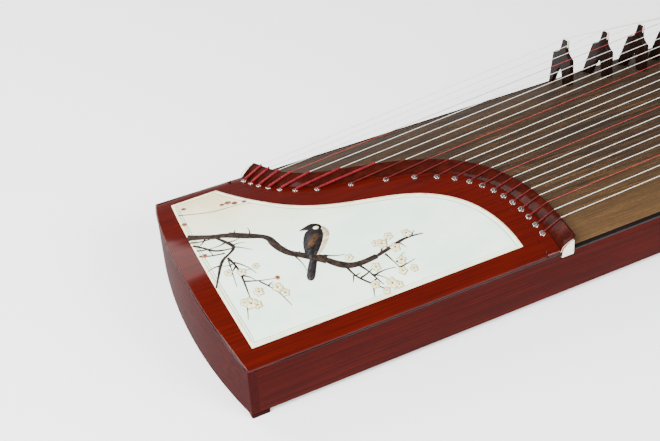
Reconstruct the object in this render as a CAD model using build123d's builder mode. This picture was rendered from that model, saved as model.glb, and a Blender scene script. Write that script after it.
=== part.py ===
"""Guzheng: a 21-string Chinese zither with movable bridges.

Millimetres, +Z up.  +X runs along the strings from the head to the tail, +Y points to the
player, and the origin is on the ground under the middle of the instrument.
"""
from build123d import *
import os
from math import sqrt

# ---------------------------------------------------------------- driving dimensions
length = 1630.0              # head bow to tail
width = 345.0                # outside of the two side panels
head_bow = 23.0              # how far the head end bulges out
crown_radius = 450.0         # arch of the soundboard and lid, seen from the end
foot_height = 7.5
rim_height = 93.0            # ground to the outer top edge of the side panels
wall = 10.0                  # side panels
end_wall = 12.0              # head and tail panels
back_thickness = 8.0
board_thickness = 9.0
lid_thickness = 4.5
picture_thickness = 0.6
joint_gap = 0.3              # air between pieces that move past each other

string_count = 21
string_pitch = 14.74
first_string_y = 154.0       # the treble string, next to the player
string_radius = 0.6
bend_radius = 3.0            # where a string turns over an edge
nut_clearance = 1.0          # string to nut, so that the bend stays clear of the round top

half_width = width / 2
head_corner_x = -length / 2 + head_bow
tail_x = length / 2
floor_top = foot_height + back_thickness
lid_top = rim_height + lid_thickness
inner_half = half_width - wall

# The line of the front string holes: distance from the head corners, and y.
hole_line = [
    (121, 185), (132, 154), (152, 110), (182, 80), (256, 51), (345, 21),
    (394, -8), (431, -52), (449, -97), (456, -141), (459, -185),
]
seam_offset = -13.0          # lid edge, square to the hole line; + is towards the tail
nut_front_offset = 9.0
nut_crest_offset = 27.5
nut_back_offset = 31.5
bulkhead_offsets = (6.5, 18.5)
board_edge_offset = 19.0

crest_end_height = 118.0     # nut crest at the two sides
crest_radius = 620.0
plate_inset = 1.5            # bone end plates of the nut, let in flush

bridge_height = 84.0         # treble bridge; the bass ones are a little lower
bridge_height_step = -0.4
bridge_turn = 10.0           # degrees that the bridges stand turned about Z
foot_spread = 54.0           # outside of the feet, on the soundboard
foot_depth = 13.0
head_spread = 9.0
head_depth = 7.0
shoulder_spread = 38.0
shoulder_drop = 33.0         # below the top
arch_drop = 51.0             # top of the opening between the legs, below the top
saddle_radius = 1.5

first_bridge = 694.0         # from the head corners
bridge_gap_last = 23.0
bridge_gap_extra = 43.0
bridge_gap_ratio = 0.82

rear_nut_x = head_corner_x + 1535.0
rear_nut_width = 12.0
rear_nut_height = 12.0
tail_hole_x = tail_x - 34.0

pin_radius = 3.5
pin_length = 62.0
pin_top = 88.0
pin_fit = 0.05
pin_row_pitch = 22.0
pin_rows = 3
pin_first_x = head_corner_x + 42.0
pin_block_top = 58.0
wrap_height = 76.0           # where a string meets its pin

rib_x = (-300.0, 0.0, 300.0, 640.0)
sound_hole_x = (-180.0, 180.0, 560.0)
sound_hole_length = 150.0
sound_hole_width = 46.0

eyelet_radius = 4.5
eyelet_hole = 2.1
eyelet_barrel = 3.1
eyelet_flange = 1.2


# ---------------------------------------------------------------- shared geometry
def crown_z(y, edge_height=rim_height):
    """Height of an arched surface that is edge_height high at the sides."""
    return edge_height + sqrt(crown_radius**2 - y**2) - sqrt(crown_radius**2 - half_width**2)


def crest_z(y):
    """Height of the nut's crest, which has a flatter arch of its own."""
    return crest_end_height + sqrt(crest_radius**2 - y**2) - sqrt(crest_radius**2 - half_width**2)


def string_y(index):
    return first_string_y - index * string_pitch


def bridge_x(index):
    """The gaps between neighbouring bridges shrink towards the bass side."""
    steps = [bridge_gap_last + bridge_gap_extra * bridge_gap_ratio**k for k in range(index)]
    return head_corner_x + first_bridge + sum(steps)


def bridge_top(index):
    return crown_z(string_y(index)) + bridge_height + bridge_height_step * index


hole_curve = Spline(*[(head_corner_x + x, y) for x, y in hole_line])
curve_samples = [k / 24 for k in range(25)]


def offset_points(distance):
    """Points of a line parallel to the hole line, in plan."""
    points = []
    for t in curve_samples:
        base = hole_curve.position_at(t)
        along = hole_curve.tangent_at(t)
        points.append((base.X - along.Y * distance, base.Y + along.X * distance))
    return points


def x_on_line(distance, y):
    """Where the line parallel to the hole line crosses the given y."""
    points = offset_points(distance)
    for (x0, y0), (x1, y1) in zip(points, points[1:]):
        if y0 >= y >= y1:
            return x0 + (x1 - x0) * (y0 - y) / (y0 - y1)
    return points[-1][0]


def eyelet_places():
    """Centre of every string hole, in the front and in the tail plate."""
    front = [(x_on_line(0, string_y(k)), string_y(k)) for k in range(string_count)]
    back = [(tail_hole_x, string_y(k)) for k in range(string_count)]
    return front + back


def crown_plane(x, y):
    """A plane square to the arched plates at one string hole."""
    lean = y / crown_radius
    return Plane(origin=(x, y, crown_z(y, lid_top)), x_dir=(1, 0, 0),
                 z_dir=(0, lean, sqrt(1 - lean**2)))


def arched_bar(x0, x1, half, low_edge, high_edge):
    """A bar along X between two parallel arched surfaces."""
    with BuildPart() as bar:
        with BuildSketch(Plane.YZ.offset(x0)):
            with BuildLine():
                top_left = (-half, crown_z(half, high_edge))
                top_right = (half, crown_z(half, high_edge))
                low_left = (-half, crown_z(half, low_edge))
                low_right = (half, crown_z(half, low_edge))
                ThreePointArc(top_left, (0, crown_z(0, high_edge)), top_right)
                Line(top_right, low_right)
                ThreePointArc(low_right, (0, crown_z(0, low_edge)), low_left)
                Line(low_left, top_left)
            make_face()
        extrude(amount=x1 - x0)
    return bar.part


def under_crown(x0, x1, y0, y1, bottom):
    """A block from bottom up to the arched rim surface."""
    middle = (y0 + y1) / 2
    with BuildPart() as block:
        with BuildSketch(Plane.YZ.offset(x0)):
            with BuildLine():
                Line((y0, bottom), (y1, bottom))
                Line((y1, bottom), (y1, crown_z(y1)))
                ThreePointArc((y1, crown_z(y1)), (middle, crown_z(middle)), (y0, crown_z(y0)))
                Line((y0, crown_z(y0)), (y0, bottom))
            make_face()
        extrude(amount=x1 - x0)
    return block.part


def band(front, back):
    """The plan region between two lines parallel to the hole line."""
    first, second = offset_points(front), offset_points(back)
    with BuildSketch() as region:
        with BuildLine():
            Spline(*first)
            Line(first[-1], second[-1])
            Spline(*reversed(second))
            Line(second[0], first[0])
        make_face()
    return region.sketch


def beside_line(distance, far_x):
    """The plan region between a parallel line and a straight line at far_x."""
    points = offset_points(distance)
    with BuildSketch() as region:
        with BuildLine():
            Spline(*points)
            Polyline(points[-1], (far_x, points[-1][1]), (far_x, points[0][1]), points[0])
        make_face()
    return region.sketch


def head_panel_inner_arc():
    """Inner face of the bowed head panel in plan, from the front to the rear side."""
    corner = head_corner_x + end_wall
    return ThreePointArc((corner, -half_width), (end_wall - length / 2, 0), (corner, half_width))


def head_panel_region():
    """Plan of the bowed head panel."""
    with BuildSketch() as region:
        with BuildLine():
            ThreePointArc((head_corner_x, half_width), (-length / 2, 0), (head_corner_x, -half_width))
            arc = head_panel_inner_arc()
            Line((head_corner_x, -half_width), arc @ 0)
            Line(arc @ 1, (head_corner_x, half_width))
        make_face()
    return region.sketch


def bowed_end_region():
    """Plan of everything from the bowed head end to the middle of the instrument."""
    with BuildSketch() as region:
        with BuildLine():
            ThreePointArc((head_corner_x, half_width), (-length / 2, 0), (head_corner_x, -half_width))
            Polyline((head_corner_x, -half_width), (0, -half_width), (0, half_width),
                     (head_corner_x, half_width))
        make_face()
    return region.sketch


tall = 200.0                 # more than the height of the instrument
os.makedirs("parts", exist_ok=True)


def save(part, name):
    part.label = name
    export_step(part, f"parts/{name}.step")


# ---------------------------------------------------------------- sound box
def make_side_panel(name, side):
    y0, y1 = sorted((side * inner_half, side * half_width))
    x0, x1 = head_corner_x + end_wall, tail_x - end_wall
    with BuildPart() as panel:
        add(under_crown(x0, x1, y0, y1, foot_height))
        with BuildSketch(Plane.XZ.offset(-side * (half_width - plate_inset))) as pocket:
            add(plate_outline(side))
        extrude(pocket.sketch, amount=-side * plate_inset, mode=Mode.SUBTRACT)
    save(panel.part, name)


def make_back_board():
    with BuildPart() as board:
        with BuildSketch(Plane.XY.offset(foot_height)):
            with BuildLine():
                arc = head_panel_inner_arc()
                Polyline(arc @ 1, (tail_x - end_wall, half_width), (tail_x - end_wall, -half_width),
                         arc @ 0)
            make_face()
            Rectangle(length, 2 * inner_half, mode=Mode.INTERSECT)
            with Locations(*[(x, 0) for x in sound_hole_x]):
                SlotOverall(sound_hole_length, sound_hole_width, mode=Mode.SUBTRACT)
        extrude(amount=back_thickness)
    save(board.part, "back_board")


def make_head_panel():
    with BuildPart() as panel:
        with BuildSketch(Plane.XY.offset(foot_height)):
            add(head_panel_region())
        extrude(amount=tall)
        add(under_crown(-length / 2, head_corner_x + end_wall, -half_width, half_width, foot_height),
            mode=Mode.INTERSECT)
    save(panel.part, "head_panel")


def make_tail_panel():
    with BuildPart() as panel:
        add(under_crown(tail_x - end_wall, tail_x, -half_width, half_width, foot_height))
        upright = panel.edges().filter_by(Axis.Z).group_by(Axis.X)[-1]
        fillet(upright, 6)
    save(panel.part, "tail_panel")


def make_soundboard():
    with BuildPart() as board:
        add(arched_bar(-length / 2, rear_nut_x + rear_nut_width, inner_half,
                       rim_height - board_thickness, rim_height))
        with BuildSketch():
            add(beside_line(board_edge_offset, tail_x))
        extrude(amount=tall, mode=Mode.INTERSECT)
    save(board.part, "soundboard")


def make_inner_frame():
    rib_depth, rib_width = 20.0, 12.0
    under_board = rim_height - board_thickness
    with BuildPart() as frame:
        with BuildSketch(Plane.XY.offset(floor_top)):
            add(band(*bulkhead_offsets))
        extrude(amount=tall)
        add(under_crown(-length / 2, tail_x, -inner_half, inner_half, floor_top), mode=Mode.INTERSECT)
    ribs = []
    for x in rib_x:
        rib = arched_bar(x, x + rib_width, inner_half, under_board - rib_depth, under_board)
        ribs.append(rib)
    tail_block = under_crown(rear_nut_x + rear_nut_width, rear_nut_x + 2 * rear_nut_width,
                             -inner_half, inner_half, floor_top)
    save(Compound(children=[frame.part, *ribs, tail_block]), "inner_frame")


def make_feet():
    foot_x, foot_y = 26.0, 24.0
    with BuildPart() as feet:
        with BuildSketch():
            with Locations((head_corner_x + foot_x / 2, 0), (tail_x - foot_x / 2, 0)):
                with GridLocations(0, width - foot_y, 1, 2):
                    Rectangle(foot_x, foot_y)
        extrude(amount=foot_height)
        fillet(feet.edges().filter_by(Axis.Z), 2)
    save(feet.part, "feet")


# ---------------------------------------------------------------- lid and fixed plates
def make_lid():
    with BuildPart() as lid:
        add(arched_bar(-length / 2, 0, half_width, rim_height, lid_top))
        with BuildSketch():
            add(beside_line(seam_offset, -length / 2))
        extrude(amount=tall, mode=Mode.INTERSECT)
        with BuildSketch():
            add(bowed_end_region())
        extrude(amount=tall, mode=Mode.INTERSECT)
        rounded = lid.faces().sort_by(Axis.Z)[-1].edges().sort_by(Axis.X)[:-1]
        fillet(rounded, 1.8)
    save(lid.part, "lid")


def picture_region():
    """Plan of the picture panel: three nearly straight sides and one that follows the nut."""
    x0, y0 = head_corner_x + 17, 148.5
    with BuildSketch() as region:
        with BuildLine():
            ThreePointArc((x0, y0), (x0 - 10, 0), (x0, -y0))
            Line((x0, -y0), (head_corner_x + 419, -y0))
            Spline(*[(head_corner_x + x, y) for x, y in (
                (419, -148.5), (413, -111), (387, -57), (328, -11), (250, 12), (173, 41),
                (122, 88), (87, 152))])
            Line((head_corner_x + 87, 152), (x0, y0))
        make_face()
    return region.sketch


def make_picture_panel():
    with BuildPart() as panel:
        add(arched_bar(-length / 2, 0, half_width, lid_top, lid_top + picture_thickness))
        with BuildSketch():
            add(picture_region())
        extrude(amount=tall, mode=Mode.INTERSECT)
    save(panel.part, "picture_panel")


def drill_string_holes(places, radius):
    for x, y in places:
        with BuildSketch(crown_plane(x, y)) as hole:
            Circle(radius)
        extrude(hole.sketch, amount=3 * lid_thickness, both=True, mode=Mode.SUBTRACT)


def make_string_plate():
    with BuildPart() as plate:
        add(arched_bar(-length / 2, 0, half_width, rim_height, lid_top))
        with BuildSketch():
            add(band(seam_offset + joint_gap, nut_front_offset - 2 * joint_gap))
        extrude(amount=tall, mode=Mode.INTERSECT)
        drill_string_holes(eyelet_places()[:string_count], eyelet_barrel)
    save(plate.part, "string_plate")


def make_tail_plate():
    with BuildPart() as plate:
        add(arched_bar(rear_nut_x + rear_nut_width, tail_x, half_width, rim_height, lid_top))
        drill_string_holes(eyelet_places()[string_count:], eyelet_barrel)
    save(plate.part, "tail_plate")


def make_eyelets():
    rings = []
    for x, y in eyelet_places():
        with BuildPart(crown_plane(x, y)) as ring:
            Cylinder(eyelet_radius, eyelet_flange, align=(Align.CENTER, Align.CENTER, Align.MIN))
            fillet(ring.edges().group_by(Axis.Z)[-1], 0.5)
            Cylinder(eyelet_barrel, lid_thickness,
                     align=(Align.CENTER, Align.CENTER, Align.MAX))
            Cylinder(eyelet_hole, 4 * lid_thickness, mode=Mode.SUBTRACT)
        rings.append(ring.part)
    save(Compound(children=rings), "eyelets")


# ---------------------------------------------------------------- nuts
def nut_section(t):
    """The nut cut square to its length: a convex ramp up to the crest, then a steep back."""
    base = hole_curve.position_at(t)
    along = hole_curve.tangent_at(t)
    across = Vector(-along.Y, along.X, 0)

    def place(distance, height_of, extra=0.0):
        spot = base + across * distance
        inside = max(-half_width, min(half_width, spot.Y))
        return Vector(spot.X, spot.Y, height_of(inside) + extra)

    def plate_z(y):
        return crown_z(y, lid_top)

    foot = place(nut_front_offset, plate_z)
    crest = place(nut_crest_offset, crest_z)
    bulge = (foot + crest) * 0.5 + Vector(0, 0, 1.6)
    back = place(nut_back_offset - 1.0, crest_z, -2.0)
    back_low = place(nut_back_offset, lambda y: 60.0)
    foot_low = place(nut_front_offset, lambda y: 60.0)
    with BuildLine() as outline:
        ThreePointArc(foot, bulge, crest)
        Polyline(crest, back, back_low, foot_low, foot)
    return Wire(outline.edges())


def make_front_nut():
    sections = [Face(nut_section(k / 20)) for k in range(21)]
    with BuildPart() as nut:
        loft(sections)
        add(arched_bar(-length / 2, 0, half_width - plate_inset, rim_height, lid_top + 60),
            mode=Mode.INTERSECT)
    save(nut.part, "front_nut")


def plate_outline(side):
    """Side view of a bone end plate: a quarter-round, set in from the nut's outline."""
    x0 = x_on_line(nut_front_offset, side * half_width) + 3.0
    low, knee, peak = rim_height - 10, rim_height + 2, rim_height + 17
    with BuildSketch() as outline:
        with BuildLine():
            Line((x0, low), (x0, knee))
            ThreePointArc((x0, knee), (x0 + 6.5, knee + 10), (x0 + 16.5, peak))
            Polyline((x0 + 16.5, peak), (x0 + 20, low), (x0, low))
        make_face()
    return outline.sketch


def make_nut_plates():
    plates = []
    for side in (-1, 1):
        with BuildPart() as plate:
            with BuildSketch(Plane.XZ.offset(-side * (half_width - plate_inset))):
                add(plate_outline(side))
            extrude(amount=-side * plate_inset)
        plates.append(plate.part)
    save(Compound(children=plates), "nut_plates")


def make_rear_nut():
    with BuildPart() as nut:
        add(arched_bar(rear_nut_x, rear_nut_x + rear_nut_width, half_width, rim_height,
                       rim_height + rear_nut_height))
        top = nut.faces().sort_by(Axis.Z)[-1].edges().filter_by(GeomType.CIRCLE)
        fillet(top, rear_nut_width * 0.4)
    save(nut.part, "rear_nut")


# ---------------------------------------------------------------- bridges
def make_bridge(index):
    """An A-shaped bridge that stands over its string's own line on two feet."""
    y = string_y(index)
    floor = crown_z(y) - 30
    top = bridge_top(index)
    wood_top = top - saddle_radius
    shoulder = top - shoulder_drop
    ground = crown_z(y)
    head, shoulders, feet = head_spread / 2, shoulder_spread / 2, foot_spread / 2
    outer_foot = min(feet, half_width - 1 - y)      # the treble bridge stays on the board
    with BuildPart() as wood:
        with BuildSketch(Plane.YZ):
            with BuildLine():
                Line((-head, wood_top), (head, wood_top))
                Line((head, wood_top), (head + 1, top - 14))
                Spline((head + 1, top - 14), (head + 3, top - 23), (shoulders, shoulder),
                       tangents=[(0.1, -1), (0.9, -0.5)])
                Polyline((shoulders, shoulder), (outer_foot, ground), (outer_foot, floor),
                         (-feet, floor), (-feet, ground), (-shoulders, shoulder))
                Spline((-shoulders, shoulder), (-head - 3, top - 23), (-head - 1, top - 14),
                       tangents=[(0.9, 0.5), (0.1, 1)])
                Line((-head - 1, top - 14), (-head, wood_top))
            make_face()
            with BuildLine():
                ThreePointArc((-12, floor), (-9.5, ground + 10), (0, top - arch_drop))
                ThreePointArc((0, top - arch_drop), (9.5, ground + 10), (12, floor))
                Line((12, floor), (-12, floor))
            make_face(mode=Mode.SUBTRACT)
        extrude(amount=foot_depth, both=True)
        with BuildSketch(Plane.XZ):
            with BuildLine():
                Polyline((-foot_depth / 2, floor), (-head_depth / 2, top - 14),
                         (-head_depth / 2, top - 2.5), (-1.6, wood_top), (1.6, wood_top),
                         (head_depth / 2, top - 2.5), (head_depth / 2, top - 14),
                         (foot_depth / 2, floor), (-foot_depth / 2, floor))
            make_face()
        extrude(amount=width, both=True, mode=Mode.INTERSECT)
    with BuildPart() as saddle:
        with BuildSketch(Plane.XZ.offset(-head)):
            with Locations((0, wood_top)):
                Circle(saddle_radius)
            with Locations((0, wood_top)):
                Rectangle(4 * saddle_radius, 2 * saddle_radius, align=(Align.CENTER, Align.MAX),
                          mode=Mode.SUBTRACT)
        extrude(amount=2 * head)
    turned = Location((bridge_x(index), y, 0), (0, 0, bridge_turn))
    with BuildPart() as bridge:
        add(turned * wood.part)
        board = arched_bar(bridge_x(index) - 60, bridge_x(index) + 60, half_width + 40,
                           rim_height - 80, rim_height + joint_gap)
        add(board, mode=Mode.SUBTRACT)
    save(Compound(children=[bridge.part, turned * saddle.part]), f"bridge_{index + 1:02d}")


# ---------------------------------------------------------------- tuning pins
def pin_place(index):
    """Pins stand in staggered rows, each just beside its own string."""
    x = pin_first_x + pin_row_pitch * (index % pin_rows)
    return x, string_y(index) - pin_radius - string_radius - joint_gap


def make_pin_block():
    block_length = pin_row_pitch * (pin_rows - 1) + 30
    with BuildPart() as block:
        with BuildSketch(Plane.XY.offset(floor_top)):
            with Locations((pin_first_x + pin_row_pitch * (pin_rows - 1) / 2, 0)):
                Rectangle(block_length, 2 * inner_half)
            with Locations(*[pin_place(k) for k in range(string_count)]):
                Circle(pin_radius + pin_fit, mode=Mode.SUBTRACT)
        extrude(amount=pin_block_top - floor_top)
    save(block.part, "pin_block")


def make_tuning_pin(index):
    """A round steel pin with a square head for the wrench."""
    x, y = pin_place(index)
    head_length, square = 10.0, 4.6
    with BuildPart(Plane.XY.offset(pin_top - pin_length)) as pin:
        with Locations((x, y)):
            Cylinder(pin_radius, pin_length - head_length,
                     align=(Align.CENTER, Align.CENTER, Align.MIN))
            with Locations((0, 0, pin_length - head_length)):
                Box(square, square, head_length, align=(Align.CENTER, Align.CENTER, Align.MIN))
        chamfer(pin.faces().sort_by(Axis.Z)[-1].edges(), 0.6)
    save(pin.part, f"tuning_pin_{index + 1:02d}")


# ---------------------------------------------------------------- strings
def string_route(index):
    """Pin, up through the eyelet, over the nut, the bridge and the rear nut, and down."""
    y = string_y(index)
    plate = crown_z(y, lid_top)
    hole_x = x_on_line(0, y)
    over = string_radius + nut_clearance
    pin_x = pin_place(index)[0]
    return [
        (pin_x, wrap_height),
        (hole_x - 1.0, plate - 9.0),
        (hole_x + 0.9, plate + 2.6),
        (x_on_line(nut_crest_offset, y), crest_z(y) + over),
        (bridge_x(index), bridge_top(index) + string_radius + joint_gap),
        (rear_nut_x + rear_nut_width / 2, crown_z(y) + rear_nut_height + over),
        (tail_hole_x - 0.9, plate + 2.6),
        (tail_hole_x + 0.9, plate - 9.0),
    ]


def make_strings():
    strings = []
    for index in range(string_count):
        route = string_route(index)
        side_view = Plane(origin=(0, string_y(index), 0), x_dir=(1, 0, 0), z_dir=(0, -1, 0))
        with BuildPart() as one:
            with BuildLine(side_view) as line:
                FilletPolyline(*route, radius=bend_radius)
            with BuildSketch(Plane(origin=line.line @ 0, z_dir=line.line % 0)):
                Circle(string_radius)
            sweep()
        knot = Pos(route[-1][0], string_y(index), route[-1][1] - 1.5) * Sphere(2.2)
        strings.append(one.part + knot)
    save(Compound(children=strings), "strings")


make_side_panel("side_panel_front", -1)
make_side_panel("side_panel_rear", 1)
make_back_board()
make_head_panel()
make_tail_panel()
make_soundboard()
make_inner_frame()
make_feet()
make_lid()
make_picture_panel()
make_string_plate()
make_tail_plate()
make_eyelets()
make_front_nut()
make_nut_plates()
make_rear_nut()
make_pin_block()
for number in range(string_count):
    make_bridge(number)
    make_tuning_pin(number)
make_strings()
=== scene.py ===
"""Guzheng: finishes, strings, bridges and the painted lid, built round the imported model."""
from math import cos, pi, radians, sin, sqrt

import bmesh
import bpy
from mathutils import Matrix, Vector


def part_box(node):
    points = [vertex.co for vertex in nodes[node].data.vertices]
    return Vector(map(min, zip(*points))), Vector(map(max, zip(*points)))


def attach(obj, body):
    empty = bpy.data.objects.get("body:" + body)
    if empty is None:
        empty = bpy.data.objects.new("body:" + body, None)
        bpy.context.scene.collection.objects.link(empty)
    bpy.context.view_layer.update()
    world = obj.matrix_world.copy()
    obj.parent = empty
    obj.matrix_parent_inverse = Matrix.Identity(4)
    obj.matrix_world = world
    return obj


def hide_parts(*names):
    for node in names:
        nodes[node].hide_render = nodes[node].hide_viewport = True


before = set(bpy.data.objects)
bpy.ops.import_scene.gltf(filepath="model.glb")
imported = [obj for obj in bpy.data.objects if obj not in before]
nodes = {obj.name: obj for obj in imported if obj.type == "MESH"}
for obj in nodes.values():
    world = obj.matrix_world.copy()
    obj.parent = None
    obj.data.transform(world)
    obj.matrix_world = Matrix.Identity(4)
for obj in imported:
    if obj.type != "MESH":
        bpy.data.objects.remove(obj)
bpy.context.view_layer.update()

mm = 0.001                     # lengths are in metres
string_count = 21
string_pitch = 14.74 * mm
first_string_y = 154 * mm
half_width = 172.5 * mm
head_x = -815 * mm             # middle of the bowed head
head_corner_x = -792 * mm
tail_x = 815 * mm
end_joints = (head_corner_x + 12 * mm, tail_x - 12 * mm)   # where the sides meet the ends
rim_height = 93 * mm           # top of the sides
panel_top = 98.1 * mm          # the painted panel at its two edges
crown_radius = 450 * mm
crest_radius = 620 * mm
crest_height = 118 * mm
red_strings = (3, 8, 13, 18)   # one in every five, to find the notes by, counted from 0
bright_wraps = 7               # the treble strings have the thick red silk
corner_angle = radians(35)     # an edge sharper than this is eased


def crown_z(y, edge):
    """Height at y of a surface arched like the soundboard, edge high at the sides."""
    return edge + sqrt(crown_radius**2 - y**2) - sqrt(crown_radius**2 - half_width**2)


def crest_z(y):
    """Height of the nut's ridge at y."""
    return crest_height + sqrt(crest_radius**2 - y**2) - sqrt(crest_radius**2 - half_width**2)


def bow_x(y):
    """x of the bowed head at y."""
    bow = head_corner_x - head_x
    radius = (bow**2 + half_width**2) / (2 * bow)
    return head_x + radius - sqrt(radius**2 - y**2)


def string_y(index):
    """y of a string, counted from 0 at the player's side."""
    return first_string_y - index * string_pitch


# ---------------------------------------------------------------- shader helpers
def linear(code):
    """A colour given as sRGB hex."""
    channels = [int(code[i:i + 2], 16) / 255 for i in (1, 3, 5)]
    return [c / 12.92 if c <= 0.04045 else ((c + 0.055) / 1.055) ** 2.4
            for c in channels] + [1.0]


def add_node(tree, kind, inputs=None, **settings):
    """Adds a node with its settings; an input is a value, or the socket that feeds it."""
    made = tree.nodes.new(kind)
    for name, value in settings.items():
        setattr(made, name, value)
    for name, value in (inputs or {}).items():
        if isinstance(value, bpy.types.NodeSocket):
            tree.links.new(value, made.inputs[name])
        else:
            made.inputs[name].default_value = value
    return made


def new_finish(name, **sockets):
    """A material with one Principled shader: (material, tree, shader)."""
    material = bpy.data.materials.new(name)
    material.use_nodes = True
    tree = material.node_tree
    shader = tree.nodes["Principled BSDF"]
    for key, value in sockets.items():
        shader.inputs[key.replace("_", " ")].default_value = value
    return material, tree, shader


def streaks(tree, size, between=(0, 1), gives=(0, 1), detail=4.0, roughness=0.6, distortion=0.0):
    """Noise drawn out to size = (x, y, z) in metres, as grain is. Its values between two
    levels are stretched to what it gives."""
    place = add_node(tree, "ShaderNodeTexCoord").outputs["Object"]
    drawn_out = add_node(tree, "ShaderNodeMapping",
                         {"Vector": place, "Scale": [1 / s for s in size]})
    noise = add_node(tree, "ShaderNodeTexNoise",
                     {"Vector": drawn_out.outputs[0], "Scale": 1.0, "Detail": detail,
                      "Roughness": roughness, "Distortion": distortion})
    return add_node(tree, "ShaderNodeMapRange",
                    {"Value": noise.outputs["Fac"], "From Min": between[0],
                     "From Max": between[1], "To Min": gives[0], "To Max": gives[1]}).outputs[0]


def across_board(tree, between, gives=(0, 1)):
    """What it gives changes with y, from one side of the board to the other."""
    place = add_node(tree, "ShaderNodeTexCoord").outputs["Object"]
    across = add_node(tree, "ShaderNodeSeparateXYZ", {0: place}).outputs["Y"]
    return add_node(tree, "ShaderNodeMapRange",
                    {"Value": across, "From Min": between[0], "From Max": between[1],
                     "To Min": gives[0], "To Max": gives[1]}).outputs[0]


def stained(tree, bottom, *coats):
    """A colour with coats of stain over it, each (how much of it shows, its colour)."""
    colour = linear(bottom)
    for amount, coat in coats:
        colour = add_node(tree, "ShaderNodeMix", {0: amount, 6: colour, 7: linear(coat)},
                          data_type="RGBA").outputs[2]
    return colour


def finish_surface(tree, shader, colour, relief=None, strength=0.0, depth=0.0):
    """Gives the shader its colour and, where there is one, a relief of that depth."""
    tree.links.new(colour, shader.inputs["Base Color"])
    if relief is not None:
        bump = add_node(tree, "ShaderNodeBump",
                        {"Height": relief, "Strength": strength, "Distance": depth})
        tree.links.new(bump.outputs[0], shader.inputs["Normal"])


# ---------------------------------------------------------------- finishes
def lacquered_veneer(name, light, dark, grain, gloss=0.5):
    """Clear polyester lacquer over stained veneer: a deep colour, with the grain under a wet
    looking gloss. The grain lines are about 3 mm wide and run for a hand's length, as on a
    quarter-cut veneer."""
    material, tree, shader = new_finish(name, Roughness=0.3, Specular_IOR_Level=0.0,
                                        Coat_Weight=gloss, Coat_Roughness=0.12, Coat_IOR=1.38)
    lines = streaks(tree, grain, (0.3, 0.7))
    clouds = streaks(tree, (0.07, 0.04, 0.04), (0.35, 0.65), (0, 0.35), detail=3.0)
    orange_peel = streaks(tree, (0.02, 0.02, 0.02), detail=1.0)
    finish_surface(tree, shader, stained(tree, dark, (lines, light), (clouds, dark)),
                   orange_peel, 0.05, 0.0004)
    return material


def scorched_paulownia():
    """Paulownia, scorched and brushed: the soft wood wears back, so dark hard lines 1.6 mm
    apart stand in a dull golden brown that has no shine. It is paler towards the rear edge."""
    material, tree, shader = new_finish("scorched_paulownia", Roughness=0.62, IOR=1.45,
                                        Specular_IOR_Level=0.25)
    line_size = (0.09, 0.0016, 0.0016)
    lines = streaks(tree, line_size, (0.38, 0.62), detail=5.0, roughness=0.65)
    flecks = streaks(tree, (0.007, 0.0014, 0.0014), (0.45, 0.56), (0.6, 0), detail=3.0,
                     roughness=0.7)
    rings = streaks(tree, (0.4, 0.007, 0.007), (0.42, 0.6), (0, 0.5), detail=3.0, distortion=0.4)
    scorch = streaks(tree, (0.16, 0.05, 0.05), (0.35, 0.68), (0.45, 0), detail=3.0)
    pale_edge = across_board(tree, (-0.06, -0.165), (0, 0.25))
    wood = stained(tree, "#070402", (lines, "#583D21"), (flecks, "#0C0806"), (rings, "#241A12"),
                   (scorch, "#1C1612"), (pale_edge, "#6C4C20"))
    ridges = streaks(tree, line_size, detail=5.0, roughness=0.65)
    finish_surface(tree, shader, wood, ridges, 0.35, 0.0004)
    return material


def bare_wood(name, light, dark, grain, roughness=0.6):
    """Planed and left bare: pale, dull, with a fine straight grain."""
    material, tree, shader = new_finish(name, Roughness=roughness, IOR=1.45)
    lines = streaks(tree, grain, (0.3, 0.7))
    finish_surface(tree, shader, stained(tree, dark, (lines, light)), lines, 0.2, 0.0002)
    return material


def polished_rosewood():
    """Oiled and buffed rosewood: near black with red-brown lines, and a tight highlight."""
    material, tree, shader = new_finish("polished_rosewood", Roughness=0.3,
                                        Specular_IOR_Level=0.1, Coat_Weight=0.2,
                                        Coat_Roughness=0.12, Coat_IOR=1.4)
    lines = streaks(tree, (0.0025, 0.0025, 0.04), (0.35, 0.7))
    finish_surface(tree, shader, stained(tree, "#080403", (lines, "#22100A")), lines, 0.1,
                   0.0002)
    return material


def polished_bone():
    """Cut and polished bone: ivory white, faintly streaked, with a soft gloss."""
    material, tree, shader = new_finish("polished_bone", Roughness=0.35, IOR=1.54,
                                        Subsurface_Weight=0.15, Subsurface_Scale=0.002,
                                        Subsurface_Radius=(1.0, 0.8, 0.6))
    lines = streaks(tree, (0.002, 0.002, 0.012), (0.35, 0.7), detail=3.0)
    finish_surface(tree, shader, stained(tree, "#D9D2C0", (lines, "#F1EEE4")))
    return material


def buffed_metal(name, colour, roughness):
    """Buffed on a wheel: bright, with polishing lines, drawn 0.4 mm apart so that they show."""
    material, tree, shader = new_finish(name, Metallic=1.0, Base_Color=linear(colour))
    lines = streaks(tree, (0.003, 0.003, 0.0004), (0, 1), (roughness * 0.7, roughness * 1.4),
                    detail=2.0)
    tree.links.new(lines, shader.inputs["Roughness"])
    return material


def wound_string(name, light, dark):
    """Nylon wound round a steel core: a smooth sheen, crossed by the turns of the winding.
    The turns are drawn 3 mm apart, because the real 0.3 mm ones are too fine to show."""
    material, tree, shader = new_finish(name, Roughness=0.4, IOR=1.53)
    turns = streaks(tree, (0.003, 0.02, 0.02), (0.35, 0.65), detail=2.0)
    finish_surface(tree, shader, stained(tree, dark, (turns, light)))
    return material


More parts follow.
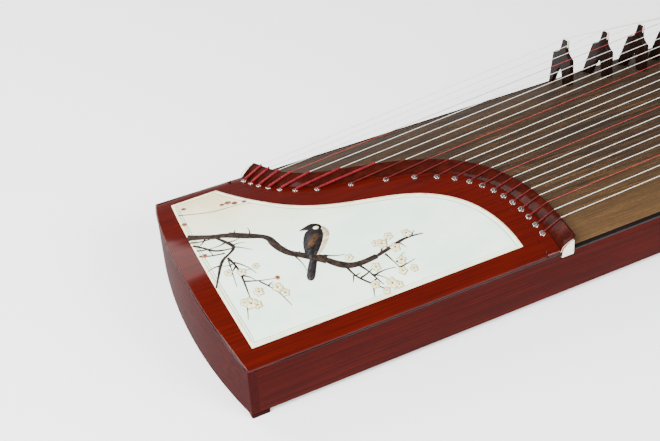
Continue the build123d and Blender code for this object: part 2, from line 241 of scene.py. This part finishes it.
def silk_thread(name, light, dark):
    """Silk floss bound round the string: short bright hairs, drawn as 1.5 mm bands."""
    material, tree, shader = new_finish(name, Roughness=0.6, IOR=1.46, Specular_IOR_Level=0.2)
    bands = streaks(tree, (0.0015, 0.004, 0.004), (0.35, 0.65), detail=2.0)
    finish_surface(tree, shader, stained(tree, dark, (bands, light)), bands, 0.4, 0.0003)
    return material


def painted_ground():
    """Tempera ground under clear lacquer: greenish white, warmer towards the player, with
    the clouds of a brushed wash."""
    material, tree, shader = new_finish("painted_ground", Roughness=0.4, Specular_IOR_Level=0.3,
                                        Coat_Weight=0.4, Coat_Roughness=0.1)
    wash = streaks(tree, (0.07, 0.05, 0.05), (0.35, 0.7), detail=3.0)
    shade = add_node(tree, "ShaderNodeMix",
                     {0: across_board(tree, (-0.02, 0.13)),
                      6: stained(tree, "#D8EFDA", (wash, "#EAFAE6")),
                      7: stained(tree, "#E6D6A4", (wash, "#F4EAC6"))}, data_type="RGBA")
    finish_surface(tree, shader, shade.outputs[2], wash, 0.05, 0.0003)
    return material


def brushed_paint(name, light, dark, stroke=0.006):
    """Thin tempera laid with a brush: uneven, thick in one place and thin in the next."""
    material, tree, shader = new_finish(name, Roughness=0.55, Specular_IOR_Level=0.15,
                                        Coat_Weight=0.1, Coat_Roughness=0.2)
    touch = streaks(tree, (stroke, stroke, stroke), (0.38, 0.66), detail=3.0)
    finish_surface(tree, shader, stained(tree, dark, (touch, light)))
    return material


red_lacquer = lacquered_veneer("red_lacquered_veneer", "#4B0B04", "#310603",
                               (0.12, 0.0025, 0.0025))
side_lacquer = lacquered_veneer("side_lacquered_veneer", "#420A05", "#280503",
                                (0.2, 0.003, 0.003), 0.14)
end_lacquer = lacquered_veneer("end_lacquered_veneer", "#3C0C09", "#240606",
                               (0.003, 0.2, 0.003), 0.09)
nut_lacquer = lacquered_veneer("dark_lacquered_nut", "#3C120B", "#1C0806",
                               (0.012, 0.006, 0.05), 0.06)
foot_lacquer = lacquered_veneer("dark_lacquered_foot", "#2C0806", "#160404",
                                (0.02, 0.003, 0.003), 0.1)
# black lacquer for the edge bindings; also the black of the bead that paints the shade in the lid
# joint
black_lacquer_and_gap_shade = lacquered_veneer("black_edge_lacquer_and_gap_shade", "#17100E", "#0B0808",
                                 (0.1, 0.004, 0.004))
paulownia = scorched_paulownia()
back_wood = bare_wood("stained_paulownia_back", "#8A6A48", "#5E4630", (0.15, 0.003, 0.003),
                      0.5)
frame_wood = bare_wood("planed_pine", "#CFAE7E", "#AF8A58", (0.1, 0.002, 0.002))
maple = bare_wood("planed_maple", "#C9A273", "#A67C4E", (0.06, 0.002, 0.002), 0.5)
rosewood = polished_rosewood()
bone = polished_bone()
nickel = buffed_metal("buffed_nickel", "#D6D3CC", 0.2)
steel = buffed_metal("bright_steel", "#B9B9BB", 0.28)
white_string = wound_string("white_wound_nylon", "#E2DED4", "#B9B5AA")
red_string = wound_string("red_wound_nylon", "#9A1018", "#6A0A10")
bright_silk = silk_thread("bright_red_silk", "#780A16", "#38040A")
dull_silk = silk_thread("faded_red_silk", "#5E0E10", "#300606")
ground = painted_ground()
border_cream = brushed_paint("cream_border_paint", "#F2EBCF", "#E3D8B2", 0.02)
border_green = brushed_paint("green_line_paint", "#8FAE8E", "#6F9072", 0.01)
ink = brushed_paint("ink_brown_paint", "#34261E", "#0E0A09")
red_earth = brushed_paint("red_earth_paint", "#A0604A", "#6A3224")
petal_cream = brushed_paint("petal_cream_paint", "#F6EFC8", "#D9CB8E", 0.004)
petal_edge = brushed_paint("petal_edge_paint", "#8E7648", "#5C4A2C", 0.004)
petal_heart = brushed_paint("petal_heart_paint", "#6A5030", "#2E2014", 0.003)
feather_dark = brushed_paint("dark_feather_paint", "#241F20", "#0C0A0E", 0.003)
feather_brown = brushed_paint("brown_feather_paint", "#54391F", "#2E1E14", 0.003)
feather_buff = brushed_paint("buff_feather_paint", "#E9DCC0", "#C4A57E", 0.004)


# ---------------------------------------------------------------- mesh helpers
def piece(name, bm, body, slot, *materials, smooth=30):
    """Makes a piece from a bmesh and hangs it on its body; smooth is in degrees."""
    mesh = bpy.data.meshes.new(name)
    bm.to_mesh(mesh)
    bm.free()
    mesh.shade_smooth()
    mesh.set_sharp_from_angle(angle=radians(smooth))
    obj = bpy.data.objects.new(name, mesh)
    bpy.context.scene.collection.objects.link(obj)
    for material in materials:
        mesh.materials.append(material)
    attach(obj, body)
    return obj


def cad_copy(node):
    """The CAD node's mesh, joined up and with its flat faces made whole."""
    bm = bmesh.new()
    bm.from_mesh(nodes[node].data)
    bmesh.ops.remove_doubles(bm, verts=bm.verts[:], dist=0.01 * mm)
    bmesh.ops.dissolve_limit(bm, angle_limit=radians(0.3), verts=bm.verts[:], edges=bm.edges[:])
    return bm


def outside(place):
    """True on the outer faces of the instrument, at its sides and its bowed head."""
    return abs(place.y) > half_width - 0.5 * mm or place.x < bow_x(place.y) + 0.5 * mm


def eased(node, body, slot, material, width, inner=1.0, segments=3):
    """Stands for a CAD node, with its outer corners eased by width, its others by that times
    inner, and those in the glued joints at the ends left square."""
    bm = cad_copy(node)
    weight = bm.edges.layers.float.new("bevel_weight_edge")
    for edge in bm.edges:
        glued = any(all(abs(v.co.x - x) < 0.1 * mm for v in edge.verts) for x in end_joints)
        if len(edge.link_faces) == 2 and edge.calc_face_angle() > corner_angle and not glued:
            edge[weight] = 1.0 if all(outside(v.co) for v in edge.verts) else inner
    obj = piece(f"{node}_finished", bm, body, slot, material)
    bevel = obj.modifiers.new("eased_corners", "BEVEL")
    bevel.width = width
    bevel.segments = segments
    bevel.limit_method = "WEIGHT"
    bevel.use_clamp_overlap = False
    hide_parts(node)


def keep_node(node, material):
    """A CAD node that shows as it is."""
    nodes[node].material_slots[0].material = material


def line_bmesh(points, radii, order=3, resolution=4, sides=2):
    """A round bead along points, as thick at each as radii says."""
    curve = bpy.data.curves.new("bead", "CURVE")
    curve.dimensions = "3D"
    curve.bevel_depth = 1.0
    curve.bevel_resolution = sides
    curve.use_fill_caps = True
    spline = curve.splines.new("NURBS")
    spline.points.add(len(points) - 1)
    for point, place, radius in zip(spline.points, points, radii):
        point.co = (*place, 1.0)
        point.radius = radius
    spline.order_u = order
    spline.use_endpoint_u = True
    spline.resolution_u = resolution
    holder = bpy.data.objects.new("bead", curve)
    mesh = bpy.data.meshes.new_from_object(holder)
    bm = bmesh.new()
    bm.from_mesh(mesh)
    bmesh.ops.remove_doubles(bm, verts=bm.verts[:], dist=0.001 * mm)
    bmesh.ops.recalc_face_normals(bm, faces=bm.faces[:])
    bpy.data.objects.remove(holder)
    bpy.data.curves.remove(curve)
    bpy.data.meshes.remove(mesh)
    return bm


def bead(name, points, radius, body, slot, material, order=3, resolution=4, sides=2):
    """A piece that is a bead of one thickness."""
    bm = line_bmesh(points, [radius] * len(points), order, resolution, sides)
    piece(name, bm, body, slot, material, smooth=60)


# ---------------------------------------------------------------- sound box
eased("side_panel_front", "body", "red_lacquer", side_lacquer, 1.6 * mm, 0.3)
eased("side_panel_rear", "body", "red_lacquer", side_lacquer, 1.6 * mm, 0.3)
eased("head_panel", "body", "red_lacquer", end_lacquer, 1.2 * mm)
eased("tail_panel", "body", "red_lacquer", end_lacquer, 1.2 * mm)
eased("lid", "lid", "red_lacquer", red_lacquer, 1.8 * mm, 0.03, 4)
eased("string_plate", "body", "red_lacquer", red_lacquer, 1.8 * mm, 0.03)
eased("tail_plate", "body", "red_lacquer", red_lacquer, 1.2 * mm)
eased("front_nut", "body", "dark_lacquer", nut_lacquer, 0.6 * mm)
eased("rear_nut", "body", "dark_lacquer", nut_lacquer, 1.0 * mm)
eased("nut_plates", "body", "bone", bone, 0.3 * mm, 1.0, 2)
eased("feet", "body", "dark_lacquer", foot_lacquer, 0.8 * mm)
keep_node("soundboard", paulownia)
keep_node("back_board", back_wood)
keep_node("inner_frame", frame_wood)
keep_node("pin_block", maple)
keep_node("eyelets", nickel)
keep_node("picture_panel", ground)
for number in range(1, string_count + 1):
    keep_node(f"tuning_pin_{number:02d}", steel)


# ---------------------------------------------------------------- strings
treble_trim, bass_trim = -0.22 * mm, -0.15 * mm      # drawn finer than the CAD strings
bright_depth, dull_depth = 1.25 * mm, 0.35 * mm      # of the silk on a string


def eyelet_x(index):
    """Where the string comes up through its front eyelet."""
    xs = [v.co.x for v in nodes["eyelets"].data.vertices
          if v.co.x < 0 and abs(v.co.y - string_y(index)) < string_pitch / 2]
    return sum(xs) / len(xs)


def nut_crest_x(index):
    """Where the string runs over the nut, between the nearest points of the nut's ridge."""
    ridge = sorted((v.co.y, v.co.x) for v in nodes["front_nut"].data.vertices
                   if v.co.z > crest_z(v.co.y) - 0.4 * mm)
    y = string_y(index)
    below = [p for p in ridge if p[0] <= y][-6:]
    above = [p for p in ridge if p[0] > y][:6]
    (y0, x0), (y1, x1) = [[sum(c) / len(side) for c in zip(*side)] for side in (below, above)]
    return x0 + (x1 - x0) * (y - y0) / (y1 - y0)


def string_mesh(index, thicker):
    """One string out of the CAD set, made thicker by that much all round."""
    bm = bmesh.new()
    bm.from_mesh(nodes["strings"].data)
    away = [f for f in bm.faces
            if abs(f.calc_center_median().y - string_y(index)) > string_pitch / 2]
    bmesh.ops.delete(bm, geom=away, context="FACES")
    bmesh.ops.remove_doubles(bm, verts=bm.verts[:], dist=0.01 * mm)
    bm.normal_update()
    for vert in bm.verts:
        vert.co += vert.normal * thicker
    return bm


def silk_wrap(index):
    """The red silk on a string, from its eyelet to the top of the nut."""
    bright = index < bright_wraps
    start, crest = eyelet_x(index) + 0.5 * mm, nut_crest_x(index)
    bm = string_mesh(index, bright_depth if bright else dull_depth)
    for x, side in ((start, 1), (crest, -1)):
        bmesh.ops.bisect_plane(bm, geom=bm.verts[:] + bm.edges[:] + bm.faces[:],
                               plane_co=(x, 0, 0), plane_no=(-side, 0, 0), clear_outer=True)
    bmesh.ops.holes_fill(bm, edges=[e for e in bm.edges if e.is_boundary], sides=0)
    piece(f"silk_wrap_{index + 1:02d}", bm, "body", "string_winding",
          bright_silk if bright else dull_silk, smooth=60)


for index in range(string_count):
    colour = red_string if index in red_strings else white_string
    thicker = treble_trim + (bass_trim - treble_trim) * index / string_count
    string = piece(f"string_{index + 1:02d}", string_mesh(index, thicker), "body",
                   "string_winding", colour, smooth=60)
    if index == 0:                  # the CAD strings are one node
        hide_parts("strings")
    silk_wrap(index)


coil_height, coil_radius = 76 * mm, 4.2 * mm     # of its top turn
coil_drop, coil_thread = 1.3 * mm, 0.6 * mm      # per turn, and the string's radius


def pin_coil(number):
    """The turns of string round a tuning pin."""
    low, high = (Vector(corner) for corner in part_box(f"tuning_pin_{number:02d}"))
    middle = (low + high) / 2
    turns, per_turn = 4, 12
    points = [(middle.x + coil_radius * cos(2 * pi * k / per_turn),
               middle.y + coil_radius * sin(2 * pi * k / per_turn),
               coil_height - coil_drop * k / per_turn) for k in range(turns * per_turn)]
    bead(f"string_coil_{number:02d}", points, coil_thread, f"tuning_pin_{number:02d}",
         "string_winding", red_string if number - 1 in red_strings else white_string,
         resolution=1, sides=1)


for number in range(1, string_count + 1):
    pin_coil(number)


# ---------------------------------------------------------------- bridges
bridge_turn = radians(10)
tongue_and_highlight = (3.2 * mm, 11.6 * mm, 14 * mm)      # the bone let into a bridge's head, deep enough to show down its edge: bone, and a painted highlight
saddle_depth = 1.4 * mm                      # the top of a bridge, that the string crosses


def bridge(number):
    """Rosewood, with a bone tongue in its head that the string rests on; the bone runs 14 mm down
    the head and shows at its edge, where its white also paints the gloss highlight on the head's
    corner.
    """
    name = f"bridge_{number:02d}"
    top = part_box(name)[1][2]
    bm = cad_copy(name)
    saddle = [v for v in bm.verts if v.co.z > top - saddle_depth]
    middle = sum((v.co for v in saddle), Vector()) / len(saddle)
    reached = set(saddle)
    while saddle:
        vert = saddle.pop()
        for edge in vert.link_edges:
            other = edge.other_vert(vert)
            if other not in reached:
                reached.add(other)
                saddle.append(other)
    if len(reached) < len(bm.verts):           # the CAD saddle is a lump of its own
        bmesh.ops.delete(bm, geom=list(reached), context="VERTS")
    wood = piece(f"{name}_wood", bm, name, "rosewood", rosewood)
    bevel = wood.modifiers.new("rounded_corners", "BEVEL")
    bevel.width = 1.2 * mm
    bevel.segments = 3
    bevel.limit_method = "ANGLE"
    bevel.angle_limit = radians(30)
    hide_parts(name)
    # the bone, made deep enough that its white shows down the head's edge as a painted highlight
    bm = bmesh.new()
    bmesh.ops.create_cube(bm, size=1.0, matrix=Matrix.Diagonal((*tongue_and_highlight, 1)))
    upright = [e for e in bm.edges if abs(e.verts[0].co.x - e.verts[1].co.x) < 1e-6
               and abs(e.verts[0].co.z - e.verts[1].co.z) < 1e-6 and e.verts[0].co.z > 0]
    bmesh.ops.bevel(bm, geom=upright, offset=1.2 * mm, segments=4, affect="EDGES",
                    profile=0.5, material=-1)
    bmesh.ops.rotate(bm, verts=bm.verts[:], cent=(0, 0, 0),
                     matrix=Matrix.Rotation(bridge_turn, 3, "Z"))
    bmesh.ops.translate(bm, verts=bm.verts[:],
                        vec=(middle.x, middle.y, top - tongue_and_highlight[2] / 2 - 0.1 * mm))
    piece(f"{name}_tongue", bm, name, "bone", bone)


for number in range(1, string_count + 1):
    bridge(number)


# ---------------------------------------------------------------- painted shade in the lid joint, bindings, painted highlight at the nut
def plate_ends(side):
    """x where the bone plate on that side of the nut starts and ends."""
    xs = [v.co.x for v in nodes["nut_plates"].data.vertices if v.co.y * side > 0]
    return min(xs), max(xs)


def lid_gap_shade():
    """A black bead along the joint of the lid and the sides: painted shade, standing for the
    shadow of a gap there.
    """
    short_of_plate, past_corner, steps = 2 * mm, head_corner_x + 60 * mm, 16
    rear_start, player_start = plate_ends(-1)[0], plate_ends(1)[0]
    points = [(rear_start - short_of_plate, -half_width, rim_height),
              (past_corner, -half_width, rim_height)]
    for k in range(steps + 1):
        y = half_width * (2 * k / steps - 1)
        points.append((bow_x(y), y, crown_z(y, rim_height)))
    points += [(past_corner, half_width, rim_height),
               (player_start - short_of_plate, half_width, rim_height)]
    bead("lid_gap_shade", points, 1.0 * mm, "body", "dark_lacquer", black_lacquer_and_gap_shade, order=2,
         resolution=1)


def edge_strip(name, side, outer, inner, lift, depths, slot, material):
    """A strip let in along the top edge of a side, from the nut to the tail, between outer and
    inner in from the side's face; it is depths deep at the nut and at the tail."""
    start, end = plate_ends(side)[1] + 1 * mm, tail_x - 12 * mm
    bm = bmesh.new()
    bmesh.ops.create_cube(bm, size=1.0)
    for vert in bm.verts:
        at_tail, at_top = vert.co.x > 0, vert.co.z > 0
        y = half_width - (inner if vert.co.y > 0 else outer)
        z = crown_z(min(y, half_width), rim_height) + lift
        vert.co = (end if at_tail else start, side * y, z if at_top else z - depths[at_tail])
    bmesh.ops.recalc_face_normals(bm, faces=bm.faces[:])
    bmesh.ops.bevel(bm, geom=bm.edges[:], offset=0.25 * mm, segments=2, affect="EDGES",
                    profile=0.5, material=-1)
    piece(name + ("_player" if side > 0 else "_rear"), bm, "body", slot, material)


def nut_edge_highlight(side):
    """A thin tan bead round the bone plate: a painted highlight, standing for the light on the
    nut's rounded top edge.
    """
    start = plate_ends(side)[0]
    points = [(start - 4 * mm, 96 * mm), (start - 2.5 * mm, 103 * mm), (start + 3 * mm, 109 * mm),
              (start + 14 * mm, 113.5 * mm)]
    # pale pine gives the colour of the painted highlight
    bead("nut_edge_highlight_" + ("player" if side > 0 else "rear"),
         [(x, side * (half_width + 0.1 * mm), z) for x, z in points], 0.5 * mm, "body",
         "plain_wood", frame_wood)


# painted shade: a black bead where the lid meets the sides
lid_gap_shade()
for side in (-1, 1):
    edge_strip("edge_binding", side, -0.3 * mm, 5 * mm, 0.35 * mm, (3 * mm, 6 * mm),
               "dark_lacquer", black_lacquer_and_gap_shade)
    edge_strip("board_edge", side, 5.1 * mm, 10.4 * mm, 0.3 * mm, (1 * mm, 1 * mm),
               "burnt_paulownia", paulownia)
    # painted highlight round the bone plate at the nut's end
    nut_edge_highlight(side)


# ---------------------------------------------------------------- painted panel
def on_panel(bm, lift, relief=1.0):
    """Lays a flat shape on the arched panel, lift above it, its own height times relief."""
    for vert in bm.verts:
        vert.co.z = crown_z(vert.co.y, panel_top) + lift + vert.co.z * relief


def cut_across(bm, low, high, step):
    """Cuts a flat shape into strips, so that it can follow the arch."""
    for k in range(int((high - low) / step) + 1):
        bmesh.ops.bisect_plane(bm, geom=bm.verts[:] + bm.edges[:] + bm.faces[:],
                               plane_co=(0, low + k * step, 0), plane_no=(0, 1, 0))


def thicken(obj, depth):
    """Gives a painted layer its film of paint, downwards."""
    solid = obj.modifiers.new("paint_film", "SOLIDIFY")
    solid.thickness = depth
    solid.offset = -1


def border_ring(name, start, end, material):
    """A band round the panel, from start to end in from its edge."""
    bm = bmesh.new()
    bm.from_mesh(nodes["picture_panel"].data)
    bmesh.ops.remove_doubles(bm, verts=bm.verts[:], dist=0.01 * mm)
    bm.normal_update()
    under = [f for f in bm.faces if f.normal.z < 0.5]
    bmesh.ops.delete(bm, geom=under, context="FACES")
    for vert in bm.verts:
        vert.co.z = 0
    bmesh.ops.dissolve_faces(bm, faces=bm.faces[:])
    middle = bm.faces[:]
    if start > 0:
        margin = bmesh.ops.inset_region(bm, faces=middle, thickness=start, use_boundary=True)
        bmesh.ops.delete(bm, geom=margin["faces"], context="FACES")
    bmesh.ops.inset_region(bm, faces=middle, thickness=end - start, use_boundary=True)
    bmesh.ops.delete(bm, geom=middle, context="FACES")
    cut_across(bm, -half_width, half_width, 8 * mm)
    on_panel(bm, 0.12 * mm)
    thicken(piece(name, bm, "lid", "painted_panel", material), 0.15 * mm)


border_ring("panel_border_cream", 0, 5.5 * mm, border_cream)
border_ring("panel_border_line", 7.5 * mm, 8.5 * mm, border_green)


def plan(x, y):
    """A place on the panel: millimetres from the head corners, and y."""
    return head_corner_x + x * mm, y * mm


stroke_swell = 0.32            # how much a stroke's width comes and goes
stroke_radius = 0.62 * mm      # for a width of 1


def brush_lines(name, lines, material):
    """Brush strokes: each is (points, width at its start, width at its end) in mm."""
    whole = bmesh.new()
    for points, start, end in lines:
        last = len(points) - 1
        radii = [(start + (end - start) * k / last) * stroke_radius
                 * (1 + stroke_swell * sin(2.3 * k + start)) for k in range(last + 1)]
        bm = line_bmesh([(*plan(x, y), 0) for x, y in points], radii)
        mesh = bpy.data.meshes.new("stroke")
        bm.to_mesh(mesh)
        bm.free()
        whole.from_mesh(mesh)
        bpy.data.meshes.remove(mesh)
    on_panel(whole, 0.1 * mm, 0.1)
    piece(name, whole, "lid", "painted_panel", material, smooth=60)


brush_lines("painted_bough", [
    ([(8, 52), (36, 38), (56, 32), (80, 17), (104, 4), (108, -16), (118, -40), (150, -57),
      (172, -84), (196, -93), (224, -89)], 8.0, 7.0),
    ([(60, 31), (84, 16), (106, 2), (107, -12), (114, -34), (138, -52), (160, -68)], 7.0, 9.0),
    ([(36, 39), (58, 30), (70, 24)], 5.0, 8.0),
    ([(8, 46), (22, 44), (40, 33), (56, 31)], 3.0, 5.0),
    ([(220, -90), (248, -84), (276, -76), (300, -80)], 5.0, 1.6),
], ink)
brush_lines("painted_twigs", [
    ([(179, -89), (181, -102), (192, -118), (211, -136)], 3.0, 1.4),
    ([(196, -94), (203, -105), (207, -118), (213, -131)], 2.8, 1.0),
    ([(189, -111), (202, -109), (216, -101)], 2.0, 1.0),
    ([(207, -115), (220, -110), (240, -114)], 2.0, 0.8),
    ([(236, -90), (240, -101), (245, -118)], 2.2, 1.0),
    ([(243, -116), (257, -115), (270, -112)], 1.8, 0.7),
    ([(199, -127), (193, -142)], 1.8, 0.7),
    ([(243, -82), (252, -62)], 1.6, 0.7),
    ([(160, -60), (170, -68), (186, -70)], 1.8, 0.8),
    ([(122, -42), (130, -60), (128, -74)], 1.8, 0.7),
], ink)
brush_lines("painted_low_twigs", [
    ([(41, 35), (52, 17), (59, 4), (47, -5), (33, -12), (20, -34), (9, -53)], 4.4, 2.4),
    ([(9, 32), (20, 22), (33, 5), (55, 3)], 3.4, 2.0),
    ([(9, 8), (23, 1), (42, -1)], 2.6, 1.6),
    ([(42, -11), (47, -28), (47, -48), (43, -83)], 3.4, 1.4),
    ([(46, -22), (59, -32), (66, -51)], 1.8, 0.8),
    ([(46, -57), (64, -65), (86, -69)], 1.8, 0.8),
    ([(64, -65), (76, -81), (84, -100), (88, -114)], 1.6, 0.7),
    ([(42, -11), (39, -30), (34, -61)], 1.6, 0.8),
    ([(16, 112), (35, 102), (61, 92), (85, 91), (105, 89), (114, 82)], 1.6, 0.6),
    ([(57, 5), (68, -2), (77, -11)], 1.6, 0.7),
    ([(35, -93), (32, -102), (28, -112)], 1.4, 0.7),
], ink)
brush_lines("painted_spurs", [
    ([(84, 15), (90, 24), (88, 32)], 2.0, 0.8), ([(112, -30), (120, -26)], 2.0, 0.8),
    ([(66, 28), (72, 36)], 2.2, 0.8), ([(128, -46), (134, -40)], 2.0, 0.8),
    ([(30, 40), (24, 30), (14, 27)], 2.4, 0.8), ([(50, 18), (40, 14), (30, 16)], 2.2, 0.8),
    ([(56, 8), (66, 10), (74, 6)], 1.8, 0.7), ([(47, -28), (38, -38), (30, -40)], 1.8, 0.7),
    ([(48, -48), (58, -54), (60, -62)], 1.8, 0.7), ([(72, -76), (80, -72)], 1.6, 0.7),
    ([(26, -20), (16, -18), (8, -24)], 1.8, 0.7),
    ([(204, -112), (214, -116), (222, -126)], 1.8, 0.7),
    ([(183, -106), (192, -104)], 1.6, 0.7), ([(262, -80), (268, -92)], 1.6, 0.7),
    ([(244, -108), (252, -100), (262, -98)], 1.6, 0.7), ([(284, -77), (292, -70)], 1.4, 0.6),
    ([(8, 40), (18, 34), (34, 34)], 3.0, 1.2), ([(10, 20), (24, 14), (38, 16)], 2.2, 0.8),
    ([(52, 17), (64, 14), (72, 18)], 2.0, 0.7), ([(20, 22), (28, 10), (26, 0)], 1.8, 0.7),
    ([(43, -24), (36, -26), (28, -20)], 1.6, 0.6), ([(47, -44), (54, -40), (62, -42)], 1.6, 0.6),
    ([(230, -88), (238, -80), (240, -74)], 2.4, 1.0), ([(182, -104), (176, -114)], 1.6, 0.6),
    ([(208, -120), (198, -122)], 1.6, 0.6),
], ink)


def blossom(bm, x, y, radius, turn):
    """Five round petals, each with a darker edge under it, about a dark heart."""
    centre = Vector((*plan(x, y), 0))
    for k in range(5):
        angle = turn + 2 * pi * k / 5
        out = Vector((cos(angle), sin(angle), 0)) * radius * 0.55 * mm
        place = (Matrix.Translation(centre + out + Vector((0, 0, k * 0.02 * mm)))
                 @ Matrix.Rotation(angle, 4, "Z") @ Matrix.Diagonal((1.0, 0.82, 1, 1)))
        edge = bmesh.ops.create_circle(bm, cap_ends=True, segments=14, matrix=place,
                                       radius=radius * 0.5 * mm + 0.5 * mm)
        for face in {f for v in edge["verts"] for f in v.link_faces}:
            face.material_index = 2
        bmesh.ops.create_circle(bm, cap_ends=True, segments=14, radius=radius * 0.5 * mm,
                                matrix=Matrix.Translation((0, 0, 0.15 * mm)) @ place)
    heart = bmesh.ops.create_circle(bm, cap_ends=True, segments=10, radius=radius * 0.17 * mm,
                                    matrix=Matrix.Translation(centre + Vector((0, 0, 0.3 * mm))))
    for face in {f for v in heart["verts"] for f in v.link_faces}:
        face.material_index = 1


def blossoms(name, flowers, petals, heart):
    """Each flower is (x, y, radius, turn) in mm and radians."""
    bm = bmesh.new()
    for x, y, radius, turn in flowers:
        blossom(bm, x, y, radius, turn)
    on_panel(bm, 0.35 * mm)
    thicken(piece(name, bm, "lid", "painted_panel", petals, heart, petal_edge), 0.1 * mm)


blossoms("painted_blossoms", [
    (41, -92, 8.5, 0.2), (34, -88, 6, 0.8), (48, -97, 6, 0.5), (82, -83, 7, 0.9),
    (240, -74, 7.5, 0.4), (232, -70, 5, 0.1), (224, -133, 8, 1.1), (232, -138, 5.5, 0.4),
    (57, -80, 6.5, 0.5), (88, -94, 6, 0.1), (254, -66, 6, 0.7), (254, -86, 7, 0.3),
    (279, -71, 6.5, 1.0), (252, -107, 6.5, 0.0), (246, -122, 6, 0.8), (262, -124, 5.5, 0.4),
    (215, -104, 6.5, 0.6), (202, -127, 6, 0.2), (189, -77, 5.5, 0.9), (49, -42, 6, 0.3),
    (33, -36, 5.5, 0.0), (70, -40, 4.5, 0.7), (212, -140, 5, 0.1),
], petal_cream, petal_heart)
blossoms("painted_buds", [
    (28, 125, 3.5, 0.1), (87, 103, 4.5, 0.5), (95, 97, 4, 0.9), (15, 84, 3.5, 0.3),
    (78, 103, 3, 0.0), (16, 6, 3.5, 0.6), (108, 93, 3, 0.2), (88, -69, 3, 0.4),
], red_earth, petal_heart)


def feathers(name, outline, lift, material):
    """A filled shape with a smooth outline in mm, painted over those with less lift."""
    curve = bpy.data.curves.new("shape", "CURVE")
    curve.dimensions = "2D"
    curve.fill_mode = "BOTH"
    spline = curve.splines.new("NURBS")
    spline.points.add(len(outline) - 1)
    for point, (x, y) in zip(spline.points, outline):
        point.co = (*plan(x, y), 0, 1)
    spline.use_cyclic_u = True
    spline.order_u = 3
    spline.resolution_u = 4
    holder = bpy.data.objects.new("shape", curve)
    mesh = bpy.data.meshes.new_from_object(holder)
    bm = bmesh.new()
    bm.from_mesh(mesh)
    bpy.data.objects.remove(holder)
    bpy.data.curves.remove(curve)
    bpy.data.meshes.remove(mesh)
    bmesh.ops.remove_doubles(bm, verts=bm.verts[:], dist=0.01 * mm)
    bmesh.ops.recalc_face_normals(bm, faces=bm.faces[:])
    cut_across(bm, -0.1, 0.02, 6 * mm)
    bm.normal_update()
    bmesh.ops.reverse_faces(bm, faces=[f for f in bm.faces if f.normal.z < 0])
    on_panel(bm, lift)
    thicken(piece(name, bm, "lid", "painted_panel", material), 0.06 * mm)


feathers("bird_tail", [(146, -50), (134, -66), (122, -84), (124, -91), (132, -91), (142, -74),
                       (153, -56)], 0.42 * mm, feather_dark)
feathers("bird_body", [(157, -12), (147, -24), (139, -40), (137, -56), (148, -59), (160, -54),
                       (171, -44), (181, -34), (185, -24), (183, -14), (176, -8), (166, -8)],
         0.48 * mm, feather_buff)
feathers("bird_wing", [(155, -12), (170, -9), (178, -15), (175, -28), (166, -41), (152, -56),
                       (140, -63), (137, -50), (141, -34), (148, -21)], 0.54 * mm, feather_dark)
feathers("bird_wing_band", [(148, -32), (160, -24), (172, -20), (166, -30), (154, -40),
                            (144, -48)], 0.62 * mm, feather_brown)
feathers("bird_wing_tip", [(144, -40), (156, -42), (148, -54), (140, -60), (139, -50)],
         0.7 * mm, feather_dark)
feathers("bird_head", [(146, -7), (157, -4), (166, -1), (174, -3), (180, -9), (178, -16),
                       (169, -17), (161, -12), (154, -9)], 0.6 * mm, feather_dark)
feathers("bird_cheek", [(167, -9), (173, -8), (176, -12), (172, -15), (167, -13)],
         0.66 * mm, petal_cream)


# ---------------------------------------------------------------- floor, light and camera
def floor():
    """A plain pale floor."""
    bm = bmesh.new()
    bmesh.ops.create_grid(bm, x_segments=1, y_segments=1, size=30)
    mesh = bpy.data.meshes.new("floor")
    bm.to_mesh(mesh)
    bm.free()
    obj = bpy.data.objects.new("floor", mesh)
    bpy.context.scene.collection.objects.link(obj)
    mesh.materials.append(new_finish("floor_paper", Roughness=0.9,
                                     Base_Color=linear("#FFFFFF"))[0])


def soft_box(name, place, size, power):
    """A square light that points at the middle of the instrument."""
    light = bpy.data.lights.new(name, "AREA")
    light.shape = "SQUARE"
    light.size = size
    light.energy = power
    obj = bpy.data.objects.new(name, light)
    bpy.context.scene.collection.objects.link(obj)
    obj.location = place
    towards = Vector((0, 0, 50 * mm)) - Vector(place)
    obj.rotation_euler = towards.to_track_quat("-Z", "Y").to_euler()


def studio():
    """Pale surroundings, and large soft lights beyond the head, the rear and the player."""
    world = bpy.data.worlds.new("studio")
    world.use_nodes = True
    background = world.node_tree.nodes["Background"]
    background.inputs["Color"].default_value = linear("#FFFFFF")
    background.inputs["Strength"].default_value = 0.4
    bpy.context.scene.world = world
    soft_box("head_side", (-2.3, -0.7, 2.1), 1.6, 230)
    soft_box("front_side", (0.7, -2.0, 1.9), 1.3, 115)
    soft_box("far_side", (-1.4, 2.0, 1.8), 2.0, 80)


def camera():
    """Above the rear of the head, looking across it at the nut and the first bridges."""
    heading, dip, roll = radians(25.48), radians(42.89), radians(-0.98)
    forward = Vector((sin(heading) * cos(dip), cos(heading) * cos(dip), -sin(dip)))
    level = Vector((cos(heading), -sin(heading), 0))
    over = level.cross(forward)
    right = cos(roll) * level + sin(roll) * over
    up = cos(roll) * over - sin(roll) * level
    lens = bpy.data.cameras.new("camera")
    lens.lens = 56.57
    lens.sensor_width = 36
    lens.clip_start = 0.01
    obj = bpy.data.objects.new("camera", lens)
    bpy.context.scene.collection.objects.link(obj)
    turned = Matrix((right, up, -forward)).transposed().to_4x4()
    obj.matrix_world = Matrix.Translation((-1.0458, -0.9484, 1.1012)) @ turned
    bpy.context.scene.camera = obj


floor()
studio()
camera()
